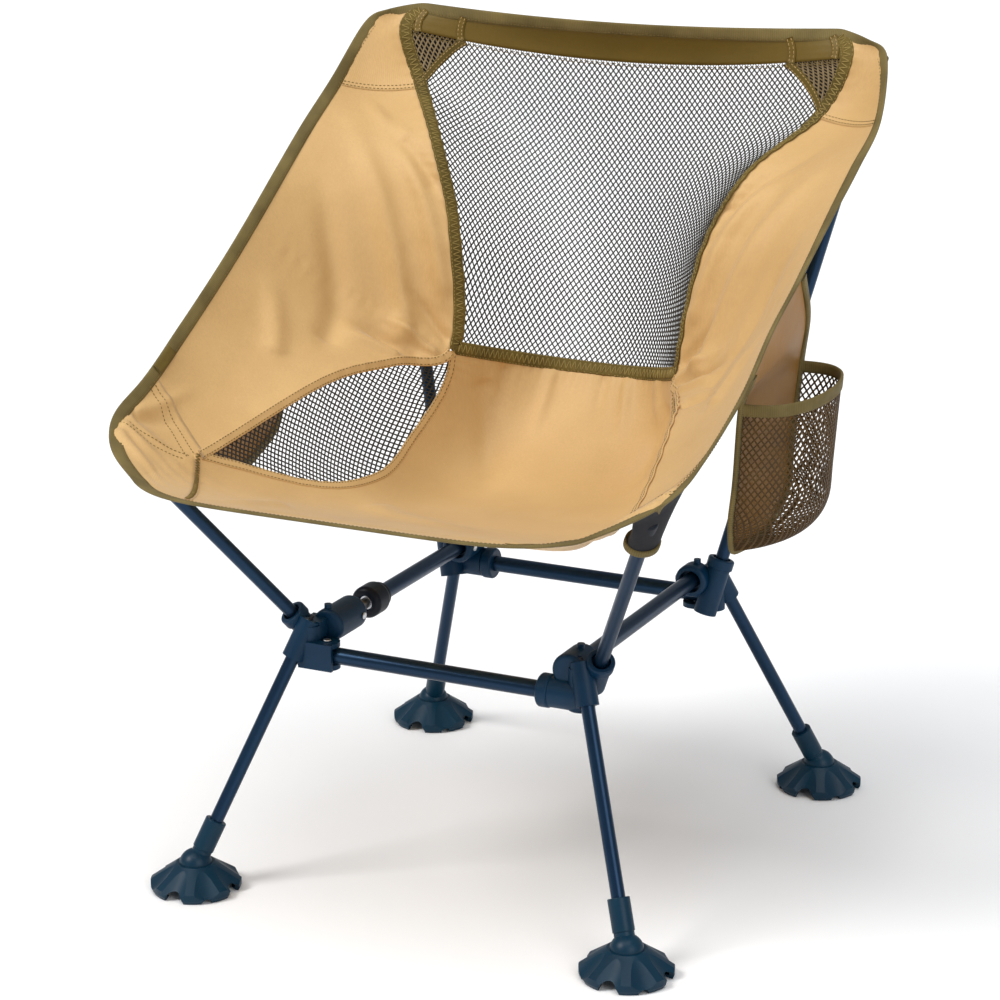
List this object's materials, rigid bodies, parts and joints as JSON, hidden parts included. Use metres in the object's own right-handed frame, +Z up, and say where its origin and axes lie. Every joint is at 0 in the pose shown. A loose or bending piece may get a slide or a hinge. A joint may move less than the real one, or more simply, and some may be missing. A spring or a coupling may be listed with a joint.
{
  "type": "ultralight backpacking chair",
  "caption": "Low folding camp chair: a bucket sling of cloth and mesh on a tube frame with plastic hubs, splayed legs and swivelling round feet.",
  "frame": {"origin": "on the ground, under the middle of the chair's outline", "axes": "+Z up; the sitter faces -Y; +X is the left-hand side seen from behind the chair, the right of a viewer in front"},
  "size_m": [0.553, 0.5712, 0.6621],
  "materials": {
    "navy_tube": "anodised, satin",
    "navy_plastic": "moulded, fine grain",
    "foot_plastic": "moulded, soft sheen",
    "black_plastic": "moulded, fine grain",
    "bright_metal": "brushed",
    "shock_cord": "braided",
    "tan_fabric": "woven nylon with a satin sheen",
    "band_fabric": "woven nylon",
    "trim_webbing": "woven tape",
    "dark_mesh": "open knitted mesh",
    "pocket_mesh": "open knitted mesh"
  },
  "bodies": {
    "root": {"hub_front_left": "navy_plastic", "hub_front_right": "navy_plastic", "hub_back_left": "navy_plastic", "hub_back_right": "navy_plastic", "front_bar": "navy_tube", "back_bar": "navy_tube", "left_bar": "navy_tube", "right_bar": "navy_tube", "hinge_pins": "bright_metal", "hub_rivets": "bright_metal", "front_bar_collar": "navy_plastic", "back_bar_collar": "navy_plastic", "left_bar_insert": "bright_metal", "front_pole_left": "navy_tube", "front_pole_right": "navy_tube", "back_pole_lower_left": "navy_tube", "back_pole_lower_right": "navy_tube", "back_pole_upper_left": "navy_tube", "back_pole_upper_right": "navy_tube", "pole_ferrule_left": "bright_metal", "pole_ferrule_right": "bright_metal", "front_pole_caps": "black_plastic", "back_pole_caps": "black_plastic", "back_mesh": "dark_mesh", "top_band": "band_fabric", "wing_left": "tan_fabric", "wing_right": "tan_fabric", "seat_panel": "tan_fabric", "seat_mesh_left": "dark_mesh", "seat_mesh_right": "dark_mesh", "corner_mesh_left": "dark_mesh", "corner_mesh_right": "dark_mesh", "front_corner_pocket_left": "tan_fabric", "front_corner_pocket_right": "tan_fabric", "back_corner_pocket_left": "tan_fabric", "back_corner_pocket_right": "tan_fabric", "edge_binding": "trim_webbing", "back_seam_tape": "trim_webbing", "label_loop": "trim_webbing", "side_pocket_left": "pocket_mesh", "side_pocket_right": "pocket_mesh", "pocket_flap_left": "tan_fabric", "pocket_flap_right": "tan_fabric"},
    "leg_front_left": {"leg_front_left": "navy_tube", "leg_cord_front_left": "shock_cord", "ball_sleeve_front_left": "navy_plastic"},
    "foot_front_left": {"foot_front_left": "foot_plastic"},
    "leg_back_left": {"leg_back_left": "navy_tube", "leg_cord_back_left": "shock_cord", "ball_sleeve_back_left": "navy_plastic"},
    "foot_back_left": {"foot_back_left": "foot_plastic"},
    "leg_front_right": {"leg_front_right": "navy_tube", "leg_cord_front_right": "shock_cord", "ball_sleeve_front_right": "navy_plastic"},
    "foot_front_right": {"foot_front_right": "foot_plastic"},
    "leg_back_right": {"leg_back_right": "navy_tube", "leg_cord_back_right": "shock_cord", "ball_sleeve_back_right": "navy_plastic"},
    "foot_back_right": {"foot_back_right": "foot_plastic"},
    "lock_knob": {"bar_lock_knob": "black_plastic"}
  },
  "joints": [
    {"name": "leg_front_left_pull", "type": "slide", "parent": "root", "child": "leg_front_left", "axis": [-0.3219, -0.3173, -0.892], "range_m": [0, 0.04], "stiffness_N_per_m": 200, "springref_m": -0.01},
    {"name": "foot_front_left_tilt", "type": "hinge", "parent": "leg_front_left", "child": "foot_front_left", "pos_m": [-0.189, -0.172, 0.02], "axis": [-0.702, 0.7122, 0], "range_deg": [-12, 60]},
    {"name": "leg_back_left_pull", "type": "slide", "parent": "root", "child": "leg_back_left", "axis": [-0.3154, 0.3695, -0.8741], "range_m": [0, 0.04], "stiffness_N_per_m": 200, "springref_m": -0.01},
    {"name": "foot_back_left_tilt", "type": "hinge", "parent": "leg_back_left", "child": "foot_back_left", "pos_m": [-0.189, 0.249, 0.02], "axis": [0.7606, 0.6493, 0], "range_deg": [-12, 60]},
    {"name": "leg_front_right_pull", "type": "slide", "parent": "root", "child": "leg_front_right", "axis": [0.3219, -0.3173, -0.892], "range_m": [0, 0.04], "stiffness_N_per_m": 200, "springref_m": -0.01},
    {"name": "foot_front_right_tilt", "type": "hinge", "parent": "leg_front_right", "child": "foot_front_right", "pos_m": [0.189, -0.172, 0.02], "axis": [-0.702, -0.7122, 0], "range_deg": [-12, 60]},
    {"name": "leg_back_right_pull", "type": "slide", "parent": "root", "child": "leg_back_right", "axis": [0.3154, 0.3695, -0.8741], "range_m": [0, 0.04], "stiffness_N_per_m": 200, "springref_m": -0.01},
    {"name": "foot_back_right_tilt", "type": "hinge", "parent": "leg_back_right", "child": "foot_back_right", "pos_m": [0.189, 0.249, 0.02], "axis": [0.7606, -0.6493, 0], "range_deg": [-12, 60]},
    {"name": "lock_knob_slide", "type": "slide", "parent": "root", "child": "lock_knob", "axis": [0, 1, 0], "range_m": [0, 0.02]}
  ]
}
